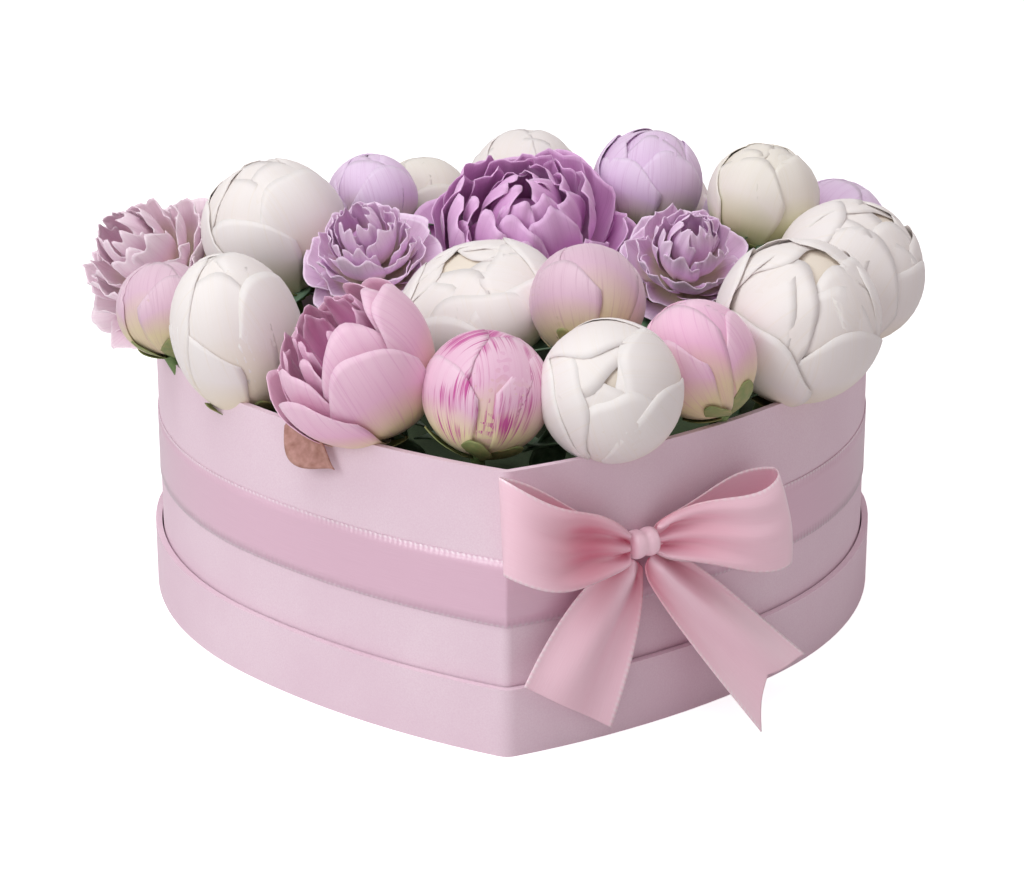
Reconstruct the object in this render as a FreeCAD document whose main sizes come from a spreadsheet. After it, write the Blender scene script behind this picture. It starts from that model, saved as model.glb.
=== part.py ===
# Heart-shaped flower box that stands in its own lid, filled with peonies and tied with a satin bow.
# Millimetres, +Z up, the heart's tip towards -Y. The origin is on the floor, below the middle of
# the heart's widest line.
import FreeCAD
import Part
import Sketcher
import math
import os

Vector = FreeCAD.Vector
doc = FreeCAD.newDocument("flower_box")

# Driving dimensions
DIMENSIONS = (
    ("box_width", 284), ("box_height", 105), ("board", 2), ("paper", 0.25), ("turn_in", 15),
    ("side_radius", 307), ("shoulder_radius", 167), ("shoulder_angle", 47), ("lobe_extra", 10),
    ("tip_round", 4),
    ("lid_height", 26), ("lid_board", 2), ("fit_gap", 0.6),
    ("band_width", 25), ("band_height", 49), ("ribbon", 0.4),
    ("bow_ribbon", 40), ("bow_angle", 33.4), ("bow_height", 73), ("bow_reach", 62), ("bow_depth", 13),
    ("bow_stand", 1.5), ("knot_width", 10), ("knot_height", 10), ("knot_gap", 0.6),
    ("film", 0.3), ("film_gap", 10), ("foam_height", 80),
    ("stem", 5), ("stem_depth", 40), ("hole_gap", 0.15), ("petal", 1.6), ("petal_gap", 0.6),
    ("bud_small", 34), ("bud_middle", 39), ("bud_large", 44), ("cup_middle", 49), ("cup_large", 56),
    ("bloom_large", 76),
    ("leaf_length", 34), ("leaf_width", 12), ("leaf_thickness", 0.8),
)
sheet = doc.addObject("Spreadsheet::Sheet", "dims")
for row, (alias, size) in enumerate(DIMENSIONS, start=1):
    sheet.set(f"A{row}", alias)
    sheet.set(f"B{row}", str(size))
    sheet.setAlias(f"B{row}", alias)
doc.recompute()


def dim(alias):
    """A driving dimension as a plain number."""
    return float(sheet.get(alias))


def value(text):
    """A size written with the sheet's aliases, as a plain number."""
    return float(sheet.evalExpression(text))


# Sizes that follow from the driving dimensions, as expressions
LOBE_RADIUS = "dims.box_width / 4 + dims.lobe_extra"
LID_INSIDE = "2 * dims.paper + dims.fit_gap"
LID_OUTSIDE = LID_INSIDE + " + dims.lid_board"
LID_FLOOR = "dims.paper + dims.lid_board"
BOX_FLOOR = LID_FLOOR + " + dims.paper + dims.board"
RIM = LID_FLOOR + " + dims.box_height"
FILM_EDGE = "-dims.board - dims.paper - dims.film_gap"
FOAM_EDGE = FILM_EDGE + " - dims.film"
FOAM_FLOOR = BOX_FLOOR + " + dims.film"

rim_z = value(RIM)
foam_top = value(FOAM_FLOOR) + dim("foam_height")


# Heart outline: per half a side arc from the tip, a shoulder arc to the widest line, and a lobe arc
# to the cleft. Every offset keeps the same centres.
def heart_centres():
    """Centres of the right half's side, shoulder and lobe arcs, and the lobe's radius."""
    half, side, shoulder = dim("box_width") / 2, dim("side_radius"), dim("shoulder_radius")
    turn = math.radians(dim("shoulder_angle"))
    lobe = dim("box_width") / 4 + dim("lobe_extra")
    mid = Vector(half - shoulder, 0, 0)
    front = mid + Vector(-math.sin(turn), math.cos(turn), 0) * (side - shoulder)
    return front, mid, Vector(half - lobe, 0, 0), lobe


SIDE_CENTRE, SHOULDER_CENTRE, LOBE_CENTRE, LOBE = heart_centres()
SHOULDER_TURN = math.radians(dim("shoulder_angle"))


def polar(centre, point):
    """Angle of a point seen from a centre."""
    return math.atan2(point.y - centre.y, point.x - centre.x)


def add_arc(sketch, centre, radius, start, end, side):
    """Add one arc, drawn for the right half and mirrored for the left."""
    if side < 0:
        centre, start, end = Vector(-centre.x, centre.y, 0), math.pi - end, math.pi - start
    circle = Part.Circle(centre, Vector(0, 0, 1), radius)
    return sketch.addGeometry(Part.ArcOfCircle(circle, start, end))


def size_of(sketch, constraint, text):
    """Add a dimension that follows an expression."""
    index = sketch.addConstraint(constraint)
    sketch.setExpression(f"Constraints[{index}]", text)


def heart_half(sketch, side, grow, rounded=True):
    """Draw half a heart, offset outwards by an expression; give back its tip and cleft ends."""
    extra = value(grow)
    first, last = (1, 2) if side > 0 else (2, 1)
    shoulder_start = SHOULDER_TURN - math.pi / 2
    reach = dim("side_radius")
    tip_radius = dim("tip_round") if rounded else 0
    tip_y = SIDE_CENTRE.y - math.sqrt((reach - tip_radius) ** 2 - SIDE_CENTRE.x ** 2)
    if not rounded:
        tip_y = SIDE_CENTRE.y - math.sqrt((reach + extra) ** 2 - SIDE_CENTRE.x ** 2)
    tip_centre = Vector(0, tip_y, 0)
    tip_turn = polar(SIDE_CENTRE, tip_centre)
    cleft = Vector(0, math.sqrt((LOBE + extra) ** 2 - LOBE_CENTRE.x ** 2), 0)
    front = add_arc(sketch, SIDE_CENTRE, reach + extra, tip_turn, shoulder_start, side)
    middle = add_arc(sketch, SHOULDER_CENTRE, dim("shoulder_radius") + extra, shoulder_start, 0, side)
    back = add_arc(sketch, LOBE_CENTRE, LOBE + extra, 0, polar(LOBE_CENTRE, cleft), side)
    sketch.addConstraint(Sketcher.Constraint("Tangent", front, last, middle, first))
    sketch.addConstraint(Sketcher.Constraint("Tangent", middle, last, back, first))
    sketch.addConstraint(Sketcher.Constraint("PointOnObject", middle, last, -1))
    sketch.addConstraint(Sketcher.Constraint("PointOnObject", middle, 3, -1))
    sketch.addConstraint(Sketcher.Constraint("PointOnObject", back, last, -2))
    size_of(sketch, Sketcher.Constraint("Radius", front, reach + extra), f"dims.side_radius + {grow}")
    size_of(sketch, Sketcher.Constraint("Radius", middle, dim("shoulder_radius") + extra),
            f"dims.shoulder_radius + {grow}")
    size_of(sketch, Sketcher.Constraint("Radius", back, LOBE + extra), f"{LOBE_RADIUS} + {grow}")
    size_of(sketch, Sketcher.Constraint("Angle", middle, -shoulder_start),
            "(90 - dims.shoulder_angle) * 1 deg")
    half = dim("box_width") / 2 + extra
    ends = (-1, 1, middle, last) if side > 0 else (middle, last, -1, 1)
    size_of(sketch, Sketcher.Constraint("DistanceX", *ends, half), f"dims.box_width / 2 + {grow}")
    if not rounded:
        sketch.addConstraint(Sketcher.Constraint("PointOnObject", front, first, -2))
        return (front, first), (back, last)
    nose = add_arc(sketch, tip_centre, tip_radius + extra, -math.pi / 2, tip_turn, side)
    sketch.addConstraint(Sketcher.Constraint("Tangent", nose, last, front, first))
    sketch.addConstraint(Sketcher.Constraint("PointOnObject", nose, 3, -2))
    sketch.addConstraint(Sketcher.Constraint("PointOnObject", nose, first, -2))
    size_of(sketch, Sketcher.Constraint("Radius", nose, tip_radius + extra), f"dims.tip_round + {grow}")
    return (nose, first), (back, last)


def close_line(sketch, one, other):
    """Join two curve ends with a straight line."""
    start, end = sketch.getPoint(*one), sketch.getPoint(*other)
    line = sketch.addGeometry(Part.LineSegment(start, end))
    sketch.addConstraint(Sketcher.Constraint("Coincident", line, 1, *one))
    sketch.addConstraint(Sketcher.Constraint("Coincident", line, 2, *other))


def origin_plane(body, role):
    """One of a body's own origin planes."""
    return next(f for f in body.Origin.OriginFeatures if f.Role == role)


def flat_sketch(body, level):
    """A sketch on the body's ground plane, lifted to a level."""
    sketch = body.newObject("Sketcher::SketchObject", "outline")
    sketch.AttachmentSupport = [(origin_plane(body, "XY_Plane"), "")]
    sketch.MapMode = "FlatFace"
    sketch.setExpression("AttachmentOffset.Base.z", level)
    return sketch


def pad(body, sketch, height):
    """Raise a sketch by a height."""
    feature = body.newObject("PartDesign::Pad", "raise")
    feature.Profile = sketch
    feature.setExpression("Length", height)
    return feature


def ring_pad(body, side, inner, outer, level, height):
    """Half a heart-shaped ring between two offsets."""
    sketch = flat_sketch(body, level)
    tips, clefts = zip(heart_half(sketch, side, outer), heart_half(sketch, side, inner))
    close_line(sketch, *tips)
    close_line(sketch, *clefts)
    return pad(body, sketch, height)


def half_plate(body, side, edge, level, height, rounded=True):
    """Half a heart-shaped plate."""
    sketch = flat_sketch(body, level)
    close_line(sketch, *heart_half(sketch, side, edge, rounded))
    return pad(body, sketch, height)


def mirror_whole(body, pads):
    """Complete a heart from its right half."""
    whole = body.newObject("PartDesign::Mirrored", "whole")
    whole.Originals = pads
    whole.MirrorPlane = (origin_plane(body, "YZ_Plane"), [""])
    body.Tip = whole


def new_body(label):
    """A named sub-part made of sketches and features."""
    body = doc.addObject("PartDesign::Body", label)
    body.Label = label
    subparts.append(body)
    return body


subparts = []


def plate(label, edge, level, height):
    """A whole heart-shaped plate as one sub-part."""
    body = new_body(label)
    mirror_whole(body, [half_plate(body, 1, edge, level, height)])


def walls(label, inner, outer, level, height):
    """A heart-shaped wall in two bent strips that meet at the tip and the cleft."""
    for name, side in (("left", -1), ("right", 1)):
        ring_pad(new_body(f"{label}_{name}"), side, inner, outer, level, height)


def wrap(label, inside, outside, bottom, top):
    """Covering paper: outside strip, fold over the edge, and turn-in on the inside."""
    body = new_body(label)
    out = f"({outside} + dims.paper)"
    inn = f"({inside} - dims.paper)"
    edge = f"{top} - dims.paper"
    strip = ring_pad(body, 1, outside, out, bottom, f"{top} - ({bottom})")
    fold = ring_pad(body, 1, inn, out, edge, "dims.paper")
    tuck = ring_pad(body, 1, inn, inside, f"{top} - dims.turn_in", "dims.turn_in")
    mirror_whole(body, [strip, fold, tuck])


# Lid, upside down as a tray
plate("lid_cover", LID_OUTSIDE, "0", "dims.paper")
plate("lid_panel", LID_INSIDE, "dims.paper", "dims.lid_board")
walls("lid_wall", f"({LID_INSIDE})", f"({LID_OUTSIDE})", "dims.paper", "dims.lid_height - 2 * dims.paper")
wrap("lid_wrap", f"({LID_INSIDE})", f"({LID_OUTSIDE})", "0", "dims.lid_height")

# Box
plate("base_paper", "0", LID_FLOOR, "dims.paper")
plate("base_board", "-dims.board", f"{LID_FLOOR} + dims.paper", "dims.board")
walls("box_wall", "(-dims.board)", "0", f"{LID_FLOOR} + dims.paper", "dims.box_height - 2 * dims.paper")
wrap("box_wrap", "(-dims.board)", "0", LID_FLOOR, f"({RIM})")
lining = new_body("lining")
mirror_whole(lining, [ring_pad(lining, 1, "(-dims.board - dims.paper)", "(-dims.board)", BOX_FLOOR,
                               f"{RIM} - dims.turn_in - ({BOX_FLOOR})")])
band = new_body("ribbon_band")
mirror_whole(band, [ring_pad(band, 1, "dims.paper", "(dims.paper + dims.ribbon)", "dims.band_height",
                             "dims.band_width")])

# Film tray and foam halves
film = new_body("film_tray")
film_floor = half_plate(film, 1, FILM_EDGE, BOX_FLOOR, "dims.film", rounded=False)
film_sketch = flat_sketch(film, FOAM_FLOOR)
film_ends = zip(heart_half(film_sketch, 1, FILM_EDGE, False), heart_half(film_sketch, 1, FOAM_EDGE, False))
for pair in film_ends:
    close_line(film_sketch, *pair)
film_side = pad(film, film_sketch, "dims.foam_height")
mirror_whole(film, [film_floor, film_side])
foam_blanks = {}
for name, side in (("left", -1), ("right", 1)):
    blank = doc.addObject("PartDesign::Body", f"foam_blank_{name}")
    half_plate(blank, side, FOAM_EDGE, FOAM_FLOOR, "dims.foam_height", rounded=False)
    foam_blanks[name] = blank


def add_shape(label, shape):
    """A named sub-part whose solid is worked out below."""
    feature = doc.addObject("Part::Feature", label)
    feature.Label = label
    feature.Shape = shape
    subparts.append(feature)


# Bow: its own axes at the knot are along the wall, outwards, and up
bow_turn = math.radians(dim("bow_angle"))
bow_out = Vector(math.sin(bow_turn), -math.cos(bow_turn), 0)
bow_along = Vector(math.cos(bow_turn), math.sin(bow_turn), 0)
bow_foot = SIDE_CENTRE + bow_out * (dim("side_radius") + dim("paper") + dim("ribbon"))
LOOP_STEPS, TAIL_STEPS = 12, 6


def bow_point(along, out, up):
    """A point given from the wall at the knot's foot, with up measured from the floor."""
    return bow_foot + bow_along * along + bow_out * out + Vector(0, 0, up)


def ribbon_solid(edges):
    """A ribbon with its two edges given as pairs of points, as thick as the ribbon."""
    sections = []
    for i, (one, other) in enumerate(edges):
        before, after = edges[max(i - 1, 0)], edges[min(i + 1, len(edges) - 1)]
        run = (after[0] + after[1]) - (before[0] + before[1])
        face = run.cross(other - one).normalize() * (dim("ribbon") / 2)
        sections.append((one - face, other - face, other + face, one + face))
    faces = [Part.Face(Part.makePolygon(list(end) + [end[0]])) for end in (sections[0], sections[-1])]
    for near, far in zip(sections, sections[1:]):
        for i in range(4):
            rails = [Part.makeLine(end[i], end[(i + 1) % 4]) for end in (near, far)]
            faces.append(Part.makeRuledSurface(*rails))
    shell = Part.makeShell(faces)
    shell.sewShape()
    solid = Part.makeSolid(Part.makeShell(shell.Faces))
    if solid.Volume < 0:
        solid.reverse()
    return solid


# Shares and powers that shape the ribbon: its gathered width, how fast a loop widens, and how a tail
# fans out and hangs away
GATHERED_SHARE, LOOP_FLARE, TAIL_FAN, TAIL_HANG, KNOT_WAIST = 0.7, 0.6, 0.8, 1.6, 0.84
knot_out = dim("knot_height") / 2
gathered = dim("knot_height") * GATHERED_SHARE


def bow_loop(side, rise):
    """A teardrop loop: out along the front, round the end, and back along the wall."""
    edges = []
    back_depth = knot_out - dim("bow_stand")
    for i in range(LOOP_STEPS + 1):
        turn = 2 * math.pi * i / LOOP_STEPS
        away = (1 - math.cos(turn)) / 2
        along = side * (dim("knot_width") / 2 + dim("knot_gap") + away * dim("bow_reach"))
        swing = math.sin(turn) * math.sin(turn / 2)
        out = knot_out + swing * (dim("bow_depth") if swing > 0 else back_depth)
        out += 2 * dim("ribbon") * math.cos(turn / 2)
        tall = gathered + (dim("bow_ribbon") - gathered) * away ** LOOP_FLARE
        up = dim("bow_height") + rise * away
        edges.append((bow_point(along, out, up - tall / 2), bow_point(along, out, up + tall / 2)))
    return ribbon_solid(edges)


def bow_tail(side, inner, outer):
    """A tail that fans out below the knot to its two end corners, given along, out and up."""
    edges = []
    top = dim("bow_height") - dim("knot_height") / 2 - dim("knot_gap")
    starts = (Vector(side * dim("ribbon"), knot_out, top), Vector(side * gathered, knot_out, top))
    for i in range(TAIL_STEPS + 1):
        share = i / TAIL_STEPS
        pair = []
        for start, corner in zip(starts, (inner, outer)):
            along = start.x + (corner.x - start.x) * share ** TAIL_FAN
            out = start.y + (corner.y - start.y) * share ** TAIL_HANG
            pair.append(bow_point(along, out, start.z + (corner.z - start.z) * share))
        edges.append(tuple(pair))
    return ribbon_solid(edges)


def bow_knot():
    """A barrel of wound ribbon, lying along the wall."""
    half, rise = dim("knot_width") / 2, dim("knot_height") / 2
    mid = rise * KNOT_WAIST
    outline = [Part.LineSegment(Vector(-half, 0, 0), Vector(-half, mid, 0))]
    for start, end in ((-half, 0), (0, half)):
        crown = Vector((start + end) / 2, rise, 0)
        outline.append(Part.Arc(Vector(start, mid, 0), crown, Vector(end, mid, 0)))
    outline.append(Part.LineSegment(Vector(half, mid, 0), Vector(half, 0, 0)))
    outline.append(Part.LineSegment(Vector(half, 0, 0), Vector(-half, 0, 0)))
    face = Part.Face(Part.Wire([curve.toShape() for curve in outline]))
    barrel = face.revolve(Vector(0, 0, 0), Vector(1, 0, 0), 360)
    place = bow_point(0, knot_out, dim("bow_height"))
    barrel.Placement = FreeCAD.Placement(place, FreeCAD.Rotation(Vector(1, 0, 0), bow_along))
    return barrel


LEFT_LOOP_RISE, RIGHT_LOOP_RISE = 18, -2
LEFT_TAIL_INNER, LEFT_TAIL_OUTER = Vector(-15, 8, 6), Vector(-52, 9, 31)
RIGHT_TAIL_INNER, RIGHT_TAIL_OUTER = Vector(30, 29, 3), Vector(75, 7, 12)
add_shape("bow_loop_left", bow_loop(-1, LEFT_LOOP_RISE))
add_shape("bow_loop_right", bow_loop(1, RIGHT_LOOP_RISE))
add_shape("bow_tail_left", bow_tail(-1, LEFT_TAIL_INNER, LEFT_TAIL_OUTER))
add_shape("bow_tail_right", bow_tail(1, RIGHT_TAIL_INNER, RIGHT_TAIL_OUTER))
add_shape("bow_knot", bow_knot())


# Peonies: a name, a form, a size, and the place of the head: across and along as shares of the
# box's half width, and the rise of its middle above the rim. The foot stands nearer to the middle.
class Peony:
    def __init__(self, label, form, size, across, along, rise, lean=0.72):
        self.label, self.form = label, form
        self.radius = dim(size) / 2
        half = dim("box_width") / 2
        self.centre = Vector(across * half, along * half, rim_z + rise)
        self.lean = lean

    def foot(self):
        """Where the stem ends in the foam."""
        gather = Vector(0, GATHER_SHARE * dim("box_width") / 2, 0)
        ground = Vector(self.centre.x, self.centre.y, 0)
        spot = gather + (ground - gather) * self.lean
        return Vector(spot.x, spot.y, foam_top - dim("stem_depth"))

    def axis(self):
        return (self.centre - self.foot()).normalize()


GATHER_SHARE = -0.25
PEONIES = [
    Peony("peony_mauve_bud_left", "bud", "bud_small", -0.93, -0.43, 20),
    Peony("peony_white_egg_left", "bud", "cup_middle", -0.71, -0.67, 22),
    Peony("peony_pink_cup_front", "cup", "cup_large", -0.41, -0.97, 24),
    Peony("peony_striped_bud_front", "bud", "bud_large", -0.07, -1.07, 18),
    Peony("peony_white_bud_front", "bud", "bud_large", 0.25, -1.10, 20),
    Peony("peony_pink_bud_right", "bud", "bud_middle", 0.48, -0.89, 22),
    Peony("peony_white_bloom_right", "cup", "cup_large", 0.74, -0.66, 26),
    Peony("peony_white_far_right", "bloom", "cup_large", 0.93, -0.18, 24),
    Peony("peony_white_centre", "cup", "cup_large", -0.10, -0.54, 29),
    Peony("peony_pink_bud_centre", "bud", "bud_middle", 0.20, -0.69, 38),
    Peony("peony_mauve_bloom_right", "bloom", "cup_middle", 0.47, -0.26, 35),
    Peony("peony_mauve_bloom_left", "bloom", "cup_middle", -0.39, -0.29, 40),
    Peony("peony_magenta_bloom", "bloom", "bloom_large", 0.04, -0.06, 40),
    Peony("peony_white_left", "cup", "cup_large", -0.67, -0.04, 39),
    Peony("peony_pink_far_left", "bloom", "cup_middle", -1.02, 0.02, 25),
    Peony("peony_mauve_bud_back", "bud", "bud_small", -0.40, 0.15, 49),
    Peony("peony_cream_back", "bud", "bud_middle", -0.26, 0.36, 38),
    Peony("peony_white_back", "cup", "cup_middle", 0.03, 0.49, 42, 0.4),
    Peony("peony_pink_back", "cup", "bud_large", 0.38, 0.21, 48),
    Peony("peony_cream_back_right", "cup", "bud_large", 0.70, 0.00, 51),
    Peony("peony_pink_back_right", "bud", "bud_middle", 0.92, 0.16, 34),
    Peony("peony_white_lobe_left", "cup", "bud_large", -0.70, 0.34, 23),
    Peony("peony_pink_lobe_left", "bud", "bud_small", -0.42, 0.51, 16),
    Peony("peony_cream_lobe_right", "cup", "bud_large", 0.42, 0.48, 21),
    Peony("peony_mauve_lobe_right", "bud", "bud_middle", 0.70, 0.39, 22),
]


def wall_distance(point):
    """Level distance from a point to the middle of the wall's thickness."""
    spot = Vector(abs(point.x), point.y, 0)
    inset = -dim("board") / 2
    lobe_gap = abs((spot - LOBE_CENTRE).Length - LOBE - inset)
    shoulder_gap = abs((spot - SHOULDER_CENTRE).Length - dim("shoulder_radius") - inset)
    side_gap = abs((spot - SIDE_CENTRE).Length - dim("side_radius") - inset)
    if spot.y > 0:
        return lobe_gap
    return shoulder_gap if polar(SHOULDER_CENTRE, spot) > SHOULDER_TURN - math.pi / 2 else side_gap


SETTLE_ROUNDS = 60


def settle(heads):
    """Push heads apart where they would press into each other, and lift them off the rim."""
    gap = dim("petal_gap")
    edge = dim("board") / 2 + dim("paper")
    for _ in range(SETTLE_ROUNDS):
        for i, one in enumerate(heads):
            for other in heads[i + 1:]:
                apart = other.centre - one.centre
                short = one.radius + other.radius + gap - apart.Length
                if short > 0:
                    push = apart.normalize() * (short / 2)
                    one.centre, other.centre = one.centre - push, other.centre + push
        for head in heads:
            aside = max(wall_distance(head.centre) - edge, 0)
            if aside < head.radius + gap:
                low = rim_z + math.sqrt((head.radius + gap) ** 2 - aside ** 2)
                head.centre.z = max(head.centre.z, low)


settle(PEONIES)


# Heads, as shares of their radius: swelling petals lie on balls set aside from the axis, three over
# the top on a slope and five round the waist. Guard petals are patches of a shell. The calyx is a cone.
SWELL, SWELL_ASIDE, CROWN_SLOPE, CROWN_TURN, CROWN_COUNT, WAIST_COUNT = 0.74, 0.26, 52, 36, 3, 5
GUARD_SHELL, OPEN_CROWN, BLOOM_CORE = 0.68, 0.84, 0.75
CUP_GUARD = {"count": 5, "aside": 0.24, "level": 0.12, "tilt": -12, "patch": 0.56}
BLOOM_OUTER = {"count": 6, "aside": 0.29, "level": 0.05, "tilt": -28, "patch": 0.60}
BLOOM_INNER = {"count": 5, "aside": 0.14, "level": 0.22, "tilt": 2, "patch": 0.46}
BLOOM_TURN = 30
CALYX_WIDE, CALYX_TALL, CALYX_DEEP = 0.64, 0.66, 1.1


def ball(radius, across, level, turn):
    """A sphere set aside from the head's axis at a turn about it."""
    angle = math.radians(turn)
    return Part.makeSphere(radius, Vector(across * math.cos(angle), across * math.sin(angle), level))


def crown(radius, skew):
    """Swelling petals folded over the top of a head."""
    inset, slope = radius * SWELL_ASIDE, math.radians(CROWN_SLOPE)
    return [ball(radius * SWELL, inset * math.cos(slope), inset * math.sin(slope),
                 skew + CROWN_TURN + 360 / CROWN_COUNT * i) for i in range(CROWN_COUNT)]


def globe(radius, skew):
    """A closed head: swelling petals round the waist and over the top."""
    waist = [ball(radius * SWELL, radius * SWELL_ASIDE, 0, skew + 360 / WAIST_COUNT * i)
             for i in range(WAIST_COUNT)]
    return waist + crown(radius, skew)


def guard_petals(radius, skew, count, aside, level, tilt, patch):
    """Spoon-shaped petals: round patches of a thin spherical shell, leaning out from the head."""
    reach = radius * GUARD_SHELL
    shell = Part.makeSphere(reach).cut(Part.makeSphere(reach - dim("petal")))
    slope = math.radians(tilt)
    spot = Vector(math.cos(slope), 0, math.sin(slope)) * reach
    spoon = shell.common(Part.makeSphere(radius * patch, spot))
    spoon.translate(Vector(radius * aside, 0, radius * level))
    return [spoon.rotated(Vector(), Vector(0, 0, 1), skew + 360 / count * i) for i in range(count)]


def head_pieces(form, radius, skew):
    """The solids that make up a head of one form."""
    if form == "bud":
        return globe(radius, skew)
    if form == "cup":
        return crown(radius * OPEN_CROWN, skew) + guard_petals(radius, skew, **CUP_GUARD)
    core = [Part.makeSphere(radius * BLOOM_CORE)]
    outer = guard_petals(radius, skew, **BLOOM_OUTER)
    inner = guard_petals(radius, skew + BLOOM_TURN, **BLOOM_INNER)
    return core + crown(radius * OPEN_CROWN, skew) + outer + inner


def peony_solid(peony, skew):
    """Head, calyx and stem as one solid, with the stem running straight through the head's axis."""
    radius, thick = peony.radius, dim("stem") / 2
    length = (peony.centre - peony.foot()).Length
    below = Vector(0, 0, -radius * CALYX_DEEP)
    calyx = Part.makeCone(thick, radius * CALYX_WIDE, radius * CALYX_TALL, below)
    stalk = Part.makeCylinder(thick, length, Vector(0, 0, -length))
    pieces = head_pieces(peony.form, radius, skew)
    whole = pieces[0].multiFuse(pieces[1:] + [calyx, stalk])
    if len(whole.Solids) != 1:
        raise RuntimeError(f"{peony.label} falls into {len(whole.Solids)} solids")
    solid = whole.Solids[0]
    solid.Placement = FreeCAD.Placement(peony.centre, FreeCAD.Rotation(Vector(0, 0, 1), peony.axis()))
    return solid


SKEW_STEP = 47
for count, peony in enumerate(PEONIES):
    add_shape(peony.label, peony_solid(peony, SKEW_STEP * count))


# Leaves stand in the foam beside the stems: the foot's place as shares, lean outwards and turn
LEAVES = (
    (-0.23, -0.90, 38, -120), (0.08, -0.90, 34, -70), (0.20, 0.28, 10, 60), (-0.80, -0.16, 25, 185),
    (0.22, -0.40, 12, -60), (-0.28, -0.72, 20, -150), (-0.56, -0.44, 12, 150), (0.62, -0.40, 12, 20),
    (0.30, 0.04, 10, 10), (-0.10, 0.24, 8, 170),
)


STALK_OVERLAP = 4


def leaf_solid(across, along, lean, turn):
    """A pointed blade between two arcs on a thin stalk."""
    long, wide, thick = dim("leaf_length"), dim("leaf_width"), dim("leaf_thickness")
    side = (wide / 2) ** 2
    bend = ((long / 2) ** 2 + side) / wide
    lens = [Part.makeCylinder(bend, thick, Vector(sign * (bend - wide / 2), 0, 0)) for sign in (-1, 1)]
    blade = lens[0].common(lens[1])
    blade.translate(Vector(0, long / 2, -thick / 2))
    into = thick * STALK_OVERLAP
    stalk = Part.makeCylinder(thick, dim("stem_depth") + into, Vector(0, into, 0), Vector(0, -1, 0))
    leaf = blade.fuse(stalk).Solids[0]
    half = dim("box_width") / 2
    spot = Vector(across * half, along * half, foam_top + thick)
    upright = FreeCAD.Rotation(Vector(1, 0, 0), 90 - lean)
    facing = FreeCAD.Rotation(Vector(0, 0, 1), turn - 90)
    leaf.Placement = FreeCAD.Placement(spot, facing.multiply(upright))
    return leaf


leaves = [leaf_solid(*leaf) for leaf in LEAVES]
add_shape("leaves", Part.makeCompound(leaves))


# Stem holes in the foam
holes = []
for peony in PEONIES:
    hole = doc.addObject("Part::Cylinder", f"hole_{peony.label}")
    hole.setExpression("Radius", "dims.stem / 2 + dims.hole_gap")
    hole.setExpression("Height", "2 * dims.stem_depth")
    start = peony.foot() - peony.axis() * dim("hole_gap")
    hole.Placement = FreeCAD.Placement(start, FreeCAD.Rotation(Vector(0, 0, 1), peony.axis()))
    holes.append(hole)
for leaf in leaves:
    hole = doc.addObject("Part::Cylinder", "hole_leaf")
    hole.setExpression("Radius", "dims.leaf_thickness + dims.hole_gap")
    hole.setExpression("Height", "2 * dims.stem_depth")
    down = leaf.Placement.Rotation.multVec(Vector(0, -1, 0))
    start = leaf.Placement.Base + down * (dim("stem_depth") + dim("hole_gap"))
    hole.Placement = FreeCAD.Placement(start, FreeCAD.Rotation(Vector(0, 0, 1), -down))
    holes.append(hole)
drilled = doc.addObject("Part::Compound", "stem_holes")
drilled.Links = holes
for name, blank in foam_blanks.items():
    foam = doc.addObject("Part::Cut", f"foam_{name}")
    foam.Label = f"foam_{name}"
    foam.Base = blank
    foam.Tool = drilled
    subparts.append(foam)

doc.recompute()
for item in doc.Objects:
    if "Invalid" in item.State or "Error" in item.State:
        raise RuntimeError(f"{item.Label} failed: {item.State}")
os.makedirs("parts", exist_ok=True)
for item in subparts:
    if item.Shape.isNull() or not item.Shape.isValid():
        raise RuntimeError(f"{item.Label} has no valid solid")
    item.Shape.exportStep(f"parts/{item.Label}.step")
    print(f"{item.Label}: {len(item.Shape.Solids)} solid(s), {item.Shape.Volume / 1000:.2f} cm3")
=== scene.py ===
# %% [markdown]
# A heart-shaped flower box that stands in its own lid, filled with peonies and tied with a satin bow.
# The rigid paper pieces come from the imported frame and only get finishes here. The soft pieces, which
# are the petals, the leaves and the ribbons, are modelled in this lesson, each in the place that its
# solid holds in the frame. All lengths are metres, +Z is up and the heart's tip points to -Y.

# %% Frame
import math
from dataclasses import dataclass

import bpy
import numpy as np
from mathutils import Matrix, Vector


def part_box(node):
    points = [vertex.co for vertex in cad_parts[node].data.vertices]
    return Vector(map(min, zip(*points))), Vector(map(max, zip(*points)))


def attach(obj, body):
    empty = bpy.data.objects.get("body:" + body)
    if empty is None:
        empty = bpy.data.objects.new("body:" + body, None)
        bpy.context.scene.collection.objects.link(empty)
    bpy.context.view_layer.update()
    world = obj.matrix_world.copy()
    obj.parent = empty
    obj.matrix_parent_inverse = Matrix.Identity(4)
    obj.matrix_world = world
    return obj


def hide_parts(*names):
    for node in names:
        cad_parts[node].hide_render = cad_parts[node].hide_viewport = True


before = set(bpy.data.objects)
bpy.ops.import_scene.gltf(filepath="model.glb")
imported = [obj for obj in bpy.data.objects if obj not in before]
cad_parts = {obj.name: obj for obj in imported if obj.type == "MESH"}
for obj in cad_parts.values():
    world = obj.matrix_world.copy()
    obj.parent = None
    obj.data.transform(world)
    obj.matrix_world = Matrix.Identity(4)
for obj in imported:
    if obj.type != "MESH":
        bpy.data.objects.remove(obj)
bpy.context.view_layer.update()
bpy.ops.object.select_all(action="DESELECT")
MM = 0.001

# %% [markdown]
# A few small tools serve every finish. One turns a colour as painters write it, in sRGB hex, into the
# linear values that the renderer counts with, and one adds a node with its settings and links. Three
# short ones give the output of a sum, of a change of range and of a blend of two colours, and the last
# links a colour and a relief to the shader.

# %% Tools for finishes


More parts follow.
